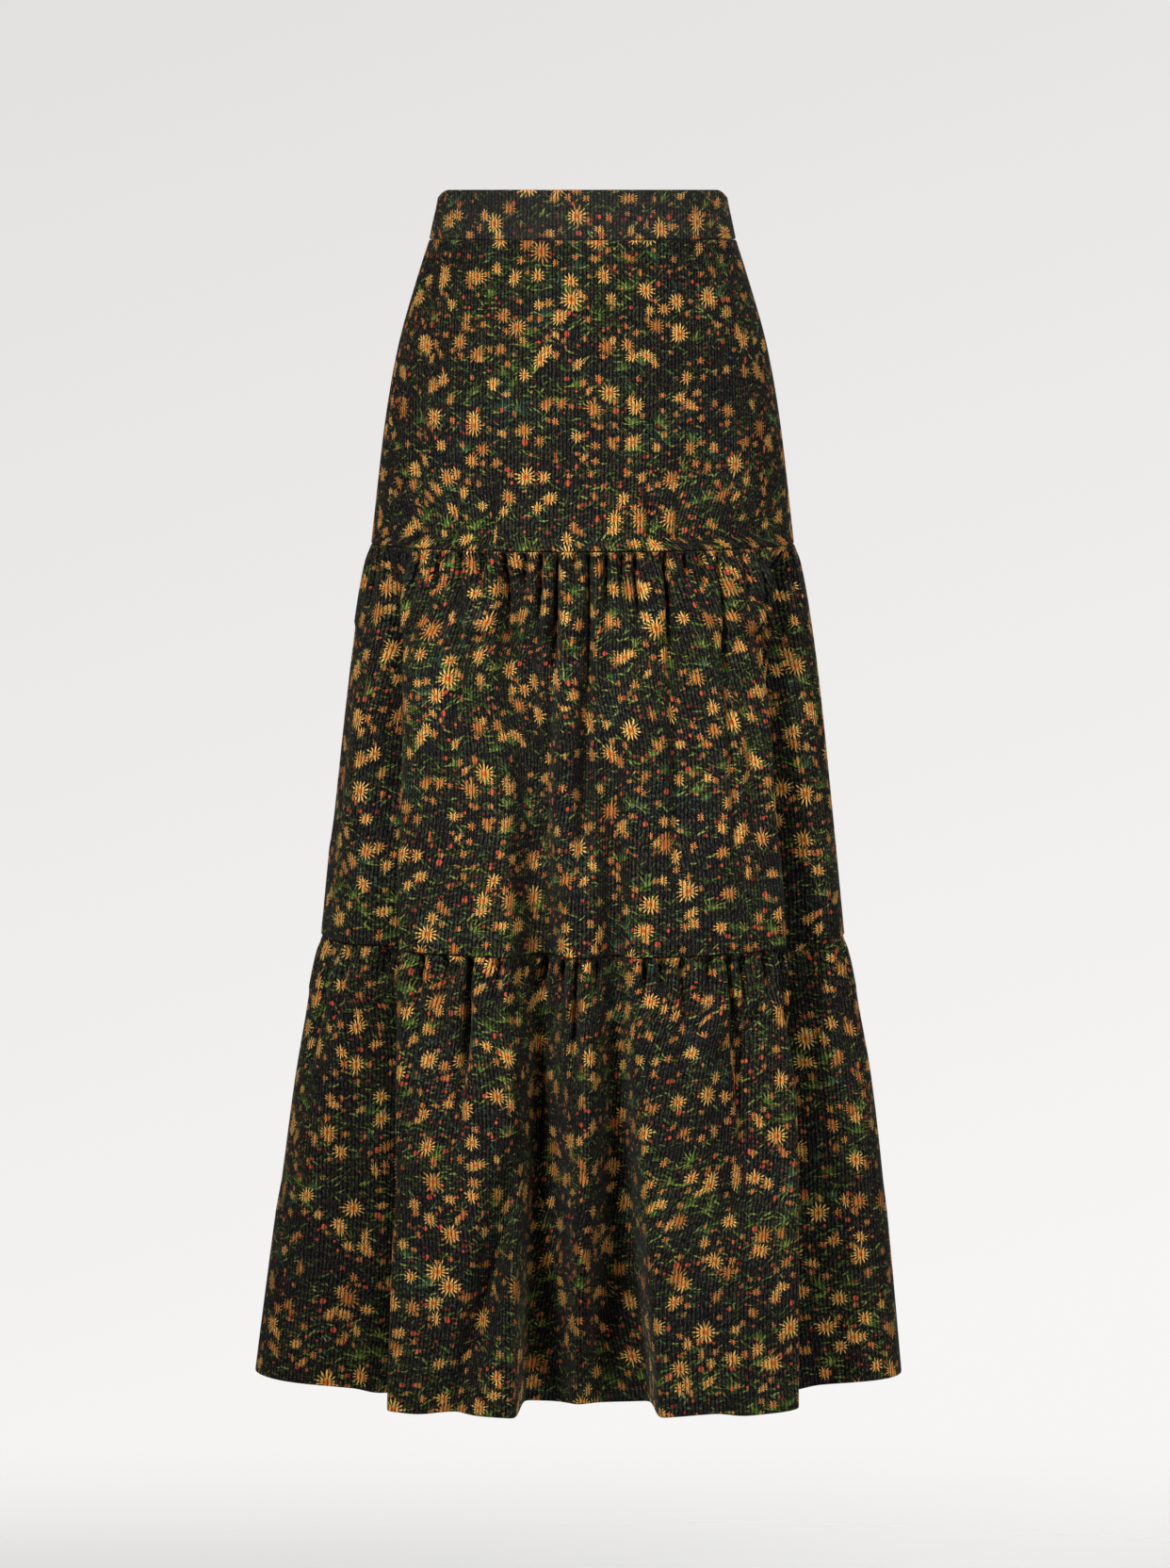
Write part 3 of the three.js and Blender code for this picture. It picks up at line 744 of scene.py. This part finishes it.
def daisyGroup():
    # flat-open daisies with narrow petals, each one turned and tipped its own way
    graph, given, out = newGroup(
        "daisies",
        ["Cell", "Share", "Small", "Large", "Petals", "Seed"],
        ["Mask", "Reach", "Chance", "Dull"],
    )
    (dx, dy, _), (c1, c2, c3) = cellsOf(graph, given["Place"], given["Cell"], given["Seed"], 0.9)
    graph.plug(out["Dull"], graph.math("FRACT", graph.times(c3, 5.9)))
    along, over = turnedBy(graph, dx, dy, graph.times(c3, math.pi))
    tipped = graph.times(graph.math("POWER", c2, 2.5), 0.9)
    over = graph.times(over, graph.plus(tipped, 1.0))
    away = graph.vector("LENGTH", graph.join(along, over))
    away = graph.times(away, given["Cell"])
    angle = graph.math("DIVIDE", graph.math("ARCTAN2", over, along), 2 * math.pi)
    turned = graph.times(graph.plus(angle, 0.5), given["Petals"])
    petal = graph.math("FLOOR", turned)
    offPetal = graph.minus(graph.minus(turned, petal), 0.5)
    offPetal = graph.times(graph.math("ABSOLUTE", offPetal), 2.0)
    petalChance = graph.chance(graph.plus(petal, graph.times(c1, 97.0)))
    size = graph.math("FRACT", graph.times(c1, 7.31))
    radius = graph.remap(size, 0.0, 1.0, given["Small"], given["Large"], smooth=False)
    radius = graph.times(radius, graph.remap(petalChance, 0.0, 1.0, 0.72, 1.08, smooth=False))
    reach = graph.math("DIVIDE", away, radius)
    petalWidth = graph.times(graph.minus(1.0, graph.math("POWER", reach, 2.2)), 0.68)
    heart = graph.remap(reach, 0.44, 0.2)
    petalWidth = graph.plus(petalWidth, heart)
    mask = graph.remap(graph.minus(petalWidth, offPetal), -0.08, 0.1)
    inside = graph.remap(reach, 1.02, 0.96)
    shown = graph.math("LESS_THAN", graph.math("FRACT", graph.times(c2, 11.7)), given["Share"])
    mask = graph.times(graph.times(mask, inside), shown)
    graph.plug(out["Mask"], mask)
    graph.plug(out["Reach"], reach)
    halves = [graph.times(value, 0.5) for value in (petalChance, c3)]
    graph.plug(out["Chance"], graph.plus(*halves))
    return graph.tree


def budGroup():
    # small round buds
    graph, given, out = newGroup("buds", ["Cell", "Share", "Radius", "Seed"], ["Mask", "Chance"])
    (dx, dy, _), (c1, c2, c3) = cellsOf(graph, given["Place"], given["Cell"], given["Seed"], 1.0)
    away = graph.vector("LENGTH", graph.join(dx, graph.times(dy, graph.plus(c3, 0.8))))
    away = graph.times(away, given["Cell"])
    radius = graph.times(given["Radius"], graph.remap(c1, 0.0, 1.0, 0.6, 1.25, smooth=False))
    reach = graph.math("DIVIDE", away, radius)
    shown = graph.math("LESS_THAN", c2, given["Share"])
    graph.plug(out["Mask"], graph.times(graph.remap(reach, 1.05, 0.8), shown))
    graph.plug(out["Chance"], c3)
    return graph.tree


def leafGroup():
    # single narrow leaves, each one lying its own way
    graph, given, out = newGroup("leaves", ["Cell", "Share", "Length", "Width", "Seed"], ["Mask", "Chance"])
    (dx, dy, _), (c1, c2, c3) = cellsOf(graph, given["Place"], given["Cell"], given["Seed"], 1.0)
    along, over = turnedBy(graph, dx, dy, graph.remap(c3, 0.0, 1.0, -0.95, 0.95, smooth=False))
    bend = graph.times(graph.times(along, along), graph.minus(c1, 0.5))
    over = graph.times(graph.plus(over, bend), given["Cell"])
    reach = graph.math("DIVIDE", graph.times(along, given["Cell"]), given["Length"])
    taper = graph.minus(1.0, graph.times(reach, reach))
    width = graph.times(given["Width"], taper)
    mask = graph.remap(graph.minus(width, graph.math("ABSOLUTE", over)), -0.0001, 0.0003)
    shown = graph.math("LESS_THAN", graph.math("FRACT", graph.times(c2, 5.3)), given["Share"])
    graph.plug(out["Mask"], graph.times(mask, shown))
    graph.plug(out["Chance"], graph.math("FRACT", graph.times(c1, 7.7)))
    return graph.tree


def grassGroup():
    # tufts of narrow blades that fan out upwards from a point
    graph, given, out = newGroup("grass", ["Cell", "Share", "Seed"], ["Mask", "Chance"])
    (dx, dy, _), (c1, c2, c3) = cellsOf(graph, given["Place"], given["Cell"], given["Seed"], 1.0)
    away = graph.vector("LENGTH", graph.join(dx, dy))
    angle = graph.math("ARCTAN2", dx, dy)
    bend = graph.remap(c1, 0.0, 1.0, -0.9, 0.9, smooth=False)
    angle = graph.plus(angle, graph.times(away, bend))
    angle = graph.plus(angle, graph.remap(c3, 0.0, 1.0, -0.7, 0.7, smooth=False))
    gap = 0.42  # radians between two blades
    turned = graph.math("DIVIDE", angle, gap)
    blade = graph.math("FLOOR", turned)
    off = graph.math("ABSOLUTE", graph.minus(graph.minus(turned, blade), 0.5))
    bladeChance = graph.chance(graph.plus(blade, graph.times(c2, 53.0)))
    length = graph.remap(bladeChance, 0.0, 1.0, 0.35, 0.8, smooth=False)
    taper = graph.minus(1.0, graph.math("DIVIDE", away, length))
    width = graph.times(taper, 0.045)
    spread = graph.times(graph.times(off, gap), away)
    mask = graph.remap(graph.minus(width, spread), -0.004, 0.014)
    upward = graph.remap(graph.math("ABSOLUTE", angle), 1.75, 1.5)
    shown = graph.math("LESS_THAN", c2, given["Share"])
    graph.plug(out["Mask"], graph.times(graph.times(mask, upward), shown))
    graph.plug(out["Chance"], bladeChance)
    return graph.tree


printGroups = {"daisies": daisyGroup(), "buds": budGroup(), "leaves": leafGroup(), "grass": grassGroup()}

# Colours of the print, in linear light
inks = {
    "ground": (0.0064, 0.0050, 0.0056, 1),
    "groundPale": (0.054, 0.047, 0.043, 1),
    "moss": (0.024, 0.025, 0.011, 1),
    "mossTeal": (0.013, 0.026, 0.020, 1),
    "leafDark": (0.044, 0.048, 0.015, 1),
    "leafMid": (0.074, 0.145, 0.022, 1),
    "leafBright": (0.250, 0.300, 0.062, 1),
    "leafTeal": (0.034, 0.092, 0.055, 1),
    "petalInner": (0.78, 0.30, 0.052, 1),
    "petalOuter": (0.91, 0.58, 0.165, 1),
    "petalDull": (0.40, 0.14, 0.032, 1),
    "heart": (0.56, 0.12, 0.03, 1),
    "smallInner": (0.56, 0.16, 0.04, 1),
    "smallOuter": (0.74, 0.34, 0.085, 1),
    "bud": (0.50, 0.085, 0.04, 1),
    "budDark": (0.18, 0.026, 0.02, 1),
}
# Noise scales, per metre of cloth
scales = {"patches": 14.0, "teal": 21.0, "bands": 26.0, "moss": 420.0, "specks": 900.0, "streaks": 1500.0}
# One row for each layer, with sizes in metres
leafLayers = [
    {"Cell": 0.0056, "Length": 0.0026, "Width": 0.00055, "Seed": 1.3},
    {"Cell": 0.0072, "Length": 0.0034, "Width": 0.00066, "Seed": 9.4},
    {"Cell": 0.0094, "Length": 0.0046, "Width": 0.00082, "Seed": 6.6},
]
budLayers = [{"Cell": 0.0125, "Radius": 0.0021, "Seed": 3.1}, {"Cell": 0.0085, "Radius": 0.0013, "Seed": 7.7}]
smallDaisies = {"Cell": 0.0165, "Small": 0.0026, "Large": 0.0046, "Petals": 8.0, "Seed": 4.3}
daisyLayers = [
    {"Cell": 0.027, "Share": 0.80, "Small": 0.0050, "Large": 0.0080, "Petals": 11.0, "Seed": 11.2},
    {"Cell": 0.036, "Share": 0.88, "Small": 0.0080, "Large": 0.0115, "Petals": 14.0, "Seed": 2.6},
]
pile = {
    "roughness": 0.92,
    "sheen": 0.03,
    "sheenRoughness": 0.4,
    "specular": 0.04,
    # a groove keeps this share of its colour, for less ink and for the shade painted into it
    "grooveInkAndShade": 0.14,  # how much of its colour a groove keeps
    "streakTone": 0.6,
    "bumpStrength": 0.35,
    "bumpDepth": 0.0006,
}


def printedCorduroy(name, shift, fadeAndSheen=None):
    # daisies, buds and grass over a near-black ground, on a ribbed pile
    material = bpy.data.materials.new(name)
    material.use_nodes = True
    graph = Graph(material.node_tree)
    shader = material.node_tree.nodes["Principled BSDF"]
    flat = graph.node("ShaderNodeUVMap", uv_map="cloth").outputs[0]
    place = graph.vector("ADD", flat, (shift[0], shift[1], 0.0))

    def layer(kind, **values):
        made = graph.node("ShaderNodeGroup", node_tree=printGroups[kind])
        for key, value in {"Place": place, **values}.items():
            graph.plug(made.inputs[key], value)
        return made.outputs

    x, y, _ = graph.split(place)
    patches = graph.noise(place, scales["patches"], 3.0, 0.6)
    banded = graph.noise(graph.join(graph.times(x, 0.35), y), scales["bands"], 1.0)
    streaks = graph.noise(graph.join(x, graph.times(y, 0.16)), scales["streaks"], 1.0)
    specks = graph.noise(place, scales["specks"], 1.0)

    teal = graph.remap(graph.noise(place, scales["teal"]), 0.50, 0.64)
    moss = graph.mix(teal, inks["moss"], inks["mossTeal"])
    mossSpots = graph.remap(graph.noise(place, scales["moss"], 1.0), 0.46, 0.62)
    mossy = graph.times(mossSpots, graph.remap(patches, 0.32, 0.62, 0.25, 0.62))
    colour = graph.mix(mossy, inks["ground"], moss)
    worn = graph.remap(graph.times(streaks, specks), 0.25, 0.40)
    colour = graph.mix(worn, colour, inks["groundPale"])

    leafShare = graph.remap(patches, 0.36, 0.62, 0.40, 0.86)
    leafy = graph.mix(teal, inks["leafMid"], inks["leafTeal"])
    blades = layer("grass", Cell=0.021, Share=graph.remap(patches, 0.45, 0.62, 0.05, 0.7), Seed=5.9)
    tint = graph.mix(graph.remap(blades["Chance"], 0.5, 1.0), leafy, inks["leafBright"])
    colour = graph.mix(blades["Mask"], colour, tint)
    for values in leafLayers:
        leaves = layer("leaves", Share=leafShare, **values)
        tint = graph.mix(graph.remap(leaves["Chance"], 0.28, 0.78), inks["leafDark"], leafy)
        tint = graph.mix(graph.remap(leaves["Chance"], 0.7, 1.0), tint, inks["leafBright"])
        colour = graph.mix(leaves["Mask"], colour, tint)

    budShare = graph.remap(banded, 0.42, 0.62, 0.16, 0.6)
    for values in budLayers:
        buds = layer("buds", Share=budShare, **values)
        tint = graph.mix(graph.remap(buds["Chance"], 0.2, 0.8), inks["bud"], inks["budDark"])
        colour = graph.mix(buds["Mask"], colour, tint)

    smallShare = graph.remap(banded, 0.40, 0.62, 0.42, 0.88)
    small = layer("daisies", Share=smallShare, **smallDaisies)
    tint = graph.mix(graph.remap(small["Reach"], 0.25, 0.8), inks["smallInner"], inks["smallOuter"])
    colour = graph.mix(small["Mask"], colour, tint)

    for values in daisyLayers:
        daisies = layer("daisies", **values)
        tint = graph.mix(graph.remap(daisies["Reach"], 0.15, 0.6), inks["petalInner"], inks["petalOuter"])
        tint = graph.mix(graph.times(daisies["Chance"], 0.35), tint, inks["petalInner"])
        tint = graph.mix(graph.remap(daisies["Dull"], 0.35, 1.0, 0.0, 0.85), tint, inks["petalDull"])
        tint = graph.mix(graph.remap(daisies["Reach"], 0.26, 0.14), tint, inks["heart"])
        colour = graph.mix(daisies["Mask"], colour, tint)

    # the grooves between wales take less ink, and the shade that falls in them is painted into the colour as
    # well
    phase = graph.times(graph.split(flat)[0], math.pi / (skirt["walePitch"] * mm))
    wale = graph.math("ABSOLUTE", graph.math("SINE", phase))
    grooveInkShade = graph.remap(wale, 0.05, 0.95, pile["grooveInkAndShade"], 1.0)
    uneven = graph.remap(streaks, 0.3, 0.7, pile["streakTone"], 1.0)
    tone = graph.times(grooveInkShade, uneven)
    shade = graph.node("ShaderNodeCombineColor", {0: tone, 1: tone, 2: tone}).outputs[0]
    colour = graph.mix(1.0, colour, shade, "MULTIPLY")
    # a faded print on the wrong side, a painted sheen on the waistband
    if fadeAndSheen:
        share, tint = fadeAndSheen
        colour = graph.mix(share, colour, tint)

    graph.plug(shader.inputs["Base Color"], colour)
    shader.inputs["Roughness"].default_value = pile["roughness"]
    shader.inputs["Sheen Weight"].default_value = pile["sheen"]
    shader.inputs["Sheen Roughness"].default_value = pile["sheenRoughness"]
    shader.inputs["Specular IOR Level"].default_value = pile["specular"]
    grain = graph.plus(graph.times(streaks, 0.7), graph.times(specks, 0.5))
    bump = graph.node(
        "ShaderNodeBump", {"Height": grain, "Strength": pile["bumpStrength"], "Distance": pile["bumpDepth"]}
    )
    graph.plug(shader.inputs["Normal"], bump.outputs[0])
    return material


# How far the print is veiled, and with what colour: the wrong side shows a faded print, the waistband a pale
# painted sheen
printFadeAndSheen = {
    "wrongSide": (0.75, (0.06, 0.058, 0.055, 1)),
    # the waistband's pale grey veil is a painted sheen
    "waistband": (0.06, (0.13, 0.125, 0.125, 1)),
}
wrongSide = printedCorduroy("wrong side", (0.31, 0.17), printFadeAndSheen["wrongSide"])
print("materials ready")

# The eight pieces of the skirt, two for each tier. Rows are fine for a length under the
# top seam and coarser below it, and the inside has one for every few outside. The rolls
# say how far the top and bottom edges turn in.
pieces = {
    "waistband": {
        "node": "waistband", "top": 0, "bottom": yokeTop, "across": 392, "wall": skirt["bandWall"],
        "fineStep": 5, "fineLength": 20, "coarseStep": 6, "innerEvery": 2, "rolls": (0.55, 1),
    },
    "yoke": {
        "node": "yoke", "top": yokeTop, "bottom": middleTop, "across": 520, "wall": skirt["wall"],
        "fineStep": 6, "fineLength": 60, "coarseStep": 9, "innerEvery": 1, "rolls": (1, 1),
    },
    "middle": {
        "node": "middle_tier", "top": middleTop, "bottom": bottomTop, "across": 690, "wall": skirt["wall"],
        "fineStep": 4.5, "fineLength": 110, "coarseStep": 8, "innerEvery": 1, "rolls": (1, 1),
    },
    "bottom": {
        "node": "bottom_tier", "top": bottomTop, "bottom": hem, "across": 920, "wall": skirt["wall"],
        "fineStep": 4.8, "fineLength": 110, "coarseStep": 9, "innerEvery": 2, "rolls": (1, 0.3),
    },
}
printShifts = {
    "waistband_front": (0.113, 0.021),
    "waistband_back": (0.52, 0.31),
    "yoke_front": (0.233, 0.402),
    "yoke_back": (0.91, 0.127),
    "middle_tier_front": (0.377, 0.711),
    "middle_tier_back": (1.31, 0.533),
    "bottom_tier_front": (0.702, 0.158),
    "bottom_tier_back": (1.77, 0.366),
}

for tier, made in pieces.items():
    gap = skirt["seamGap"] / 2
    top = made["top"] + (gap if made["top"] > 0 else 0)
    bottom = made["bottom"] - (gap if made["bottom"] < hem else 0)
    drops = spacedDrops(top, bottom, made["fineStep"], made["fineLength"], made["coarseStep"])
    topRoll, bottomRoll = made["rolls"]
    rolls = [topRoll * rollIn(drop - top) + bottomRoll * rollIn(bottom - drop) for drop in drops]
    fineRows = [k for k, drop in enumerate(drops) if drop - top < made["fineLength"] or bottom - drop < 16]
    innerRows = sorted({0, len(drops) - 1, *fineRows, *range(0, len(drops) - 1, made["innerEvery"])})
    for half in ("front", "back"):
        node = f"{made['node']}_{half}"
        columns = round(made["across"] / skirt["walePitch"]) * skirt["pointsPerWale"]
        outer, inner, places = panelRows(tier, half, drops, rolls, columns, made["wall"])
        material = printedCorduroy(node.replace("_", " "), printShifts[node], printFadeAndSheen.get(tier))
        piece = clothMesh(f"{node}_cloth", outer, inner, places, drops, innerRows, [material, wrongSide])
        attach(piece, "root")
        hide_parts(node)
        triangles = sum(len(p.vertices) - 2 for p in piece.data.polygons)
        print(f"{node}: {triangles} triangles")

print("cloth ready")

# Floor, light and camera, in metres, watts and degrees
studio = {
    "floorHeight": -1.45,
    "floorRadius": 2.6,
    "floorColour": (0.86, 0.855, 0.85, 1),
    "lowerColour": (0.925, 0.915, 0.905, 1),  # what the camera sees behind the skirt
    "upperColour": (0.755, 0.745, 0.733, 1),
    "lightBelow": (0.10, 0.10, 0.10, 1),  # what lights it from all round
    "lightAbove": (0.33, 0.33, 0.34, 1),
}
lamps = {  # place, target, size, power and spread
    "key": ((-1.2, -2.36, 1.85), (0.07, -0.16, -0.47), 0.6, 4.0, 26),
    "fill": ((1.9, -2.9, 1.4), (0, 0, -0.1), 1.4, 74, 180),
    "back": ((1.8, 3.6, 1.8), (0, 0, -0.45), 2.4, 60, 180),
}
view = {"place": (0.002, -6.0, 0.0185), "lookDown": 4.685, "lens": 165.8, "sensor": 36}


def makeFloor():
    bpy.ops.mesh.primitive_circle_add(vertices=96, radius=studio["floorRadius"], fill_type="NGON")
    floor = bpy.context.object
    floor.name = "floor"
    floor.location.z = studio["floorHeight"]
    material = bpy.data.materials.new("pale floor")
    material.use_nodes = True
    graph = Graph(material.node_tree)
    shader = material.node_tree.nodes["Principled BSDF"]
    shader.inputs["Base Color"].default_value = studio["floorColour"]
    shader.inputs["Roughness"].default_value = 0.9
    # the floor fades out towards its rim
    away = graph.vector("LENGTH", graph.node("ShaderNodeTexCoord").outputs["Object"])
    clear = graph.node("ShaderNodeBsdfTransparent").outputs[0]
    share = graph.remap(away, studio["floorRadius"] * 0.3, studio["floorRadius"] * 0.97)
    blend = graph.node("ShaderNodeMixShader", {0: share, 1: shader.outputs[0], 2: clear})
    graph.plug(material.node_tree.nodes["Material Output"].inputs[0], blend.outputs[0])
    floor.data.materials.append(material)


def areaLight(name, place, target, size, power, spread):
    data = bpy.data.lights.new(name, "AREA")
    data.shape = "DISK"
    data.size = size
    data.energy = power
    data.spread = math.radians(spread)
    lamp = bpy.data.objects.new(name, data)
    bpy.context.scene.collection.objects.link(lamp)
    lamp.visible_camera = False
    lamp.location = place
    way = lamp.location.copy()
    way.x, way.y, way.z = (t - p for t, p in zip(target, place))
    lamp.rotation_euler = way.to_track_quat("-Z", "Y").to_euler()


def makeWorld():
    world = bpy.data.worlds.new("pale studio")
    bpy.context.scene.world = world
    world.use_nodes = True
    graph = Graph(world.node_tree)
    way = graph.node("ShaderNodeTexCoord").outputs["Generated"]
    x, y, z = graph.split(way)
    rise = graph.plus(z, graph.times(x, -0.30))
    share = graph.remap(rise, -0.17, 0.06, 0.0, 1.0, smooth=False)
    seen = graph.mix(share, studio["lowerColour"], studio["upperColour"])
    lit = graph.mix(graph.remap(z, -0.5, 0.8), studio["lightBelow"], studio["lightAbove"])
    isSeen = graph.node("ShaderNodeLightPath").outputs["Is Camera Ray"]
    colour = graph.mix(isSeen, lit, seen)
    back = world.node_tree.nodes["Background"]
    graph.plug(back.inputs[0], colour)
    back.inputs[1].default_value = 1.0


def makeCamera():
    data = bpy.data.cameras.new("camera")
    data.sensor_width = view["sensor"]
    data.lens = view["lens"]
    data.clip_end = 100
    camera = bpy.data.objects.new("camera", data)
    bpy.context.scene.collection.objects.link(camera)
    camera.location = view["place"]
    camera.rotation_euler = (math.radians(90 - view["lookDown"]), 0, 0)
    bpy.context.scene.camera = camera


makeFloor()
makeWorld()
makeCamera()
for name, values in lamps.items():
    areaLight(name, *values)
bpy.context.scene.view_settings.view_transform = "Standard"
print("floor, lights and camera ready")
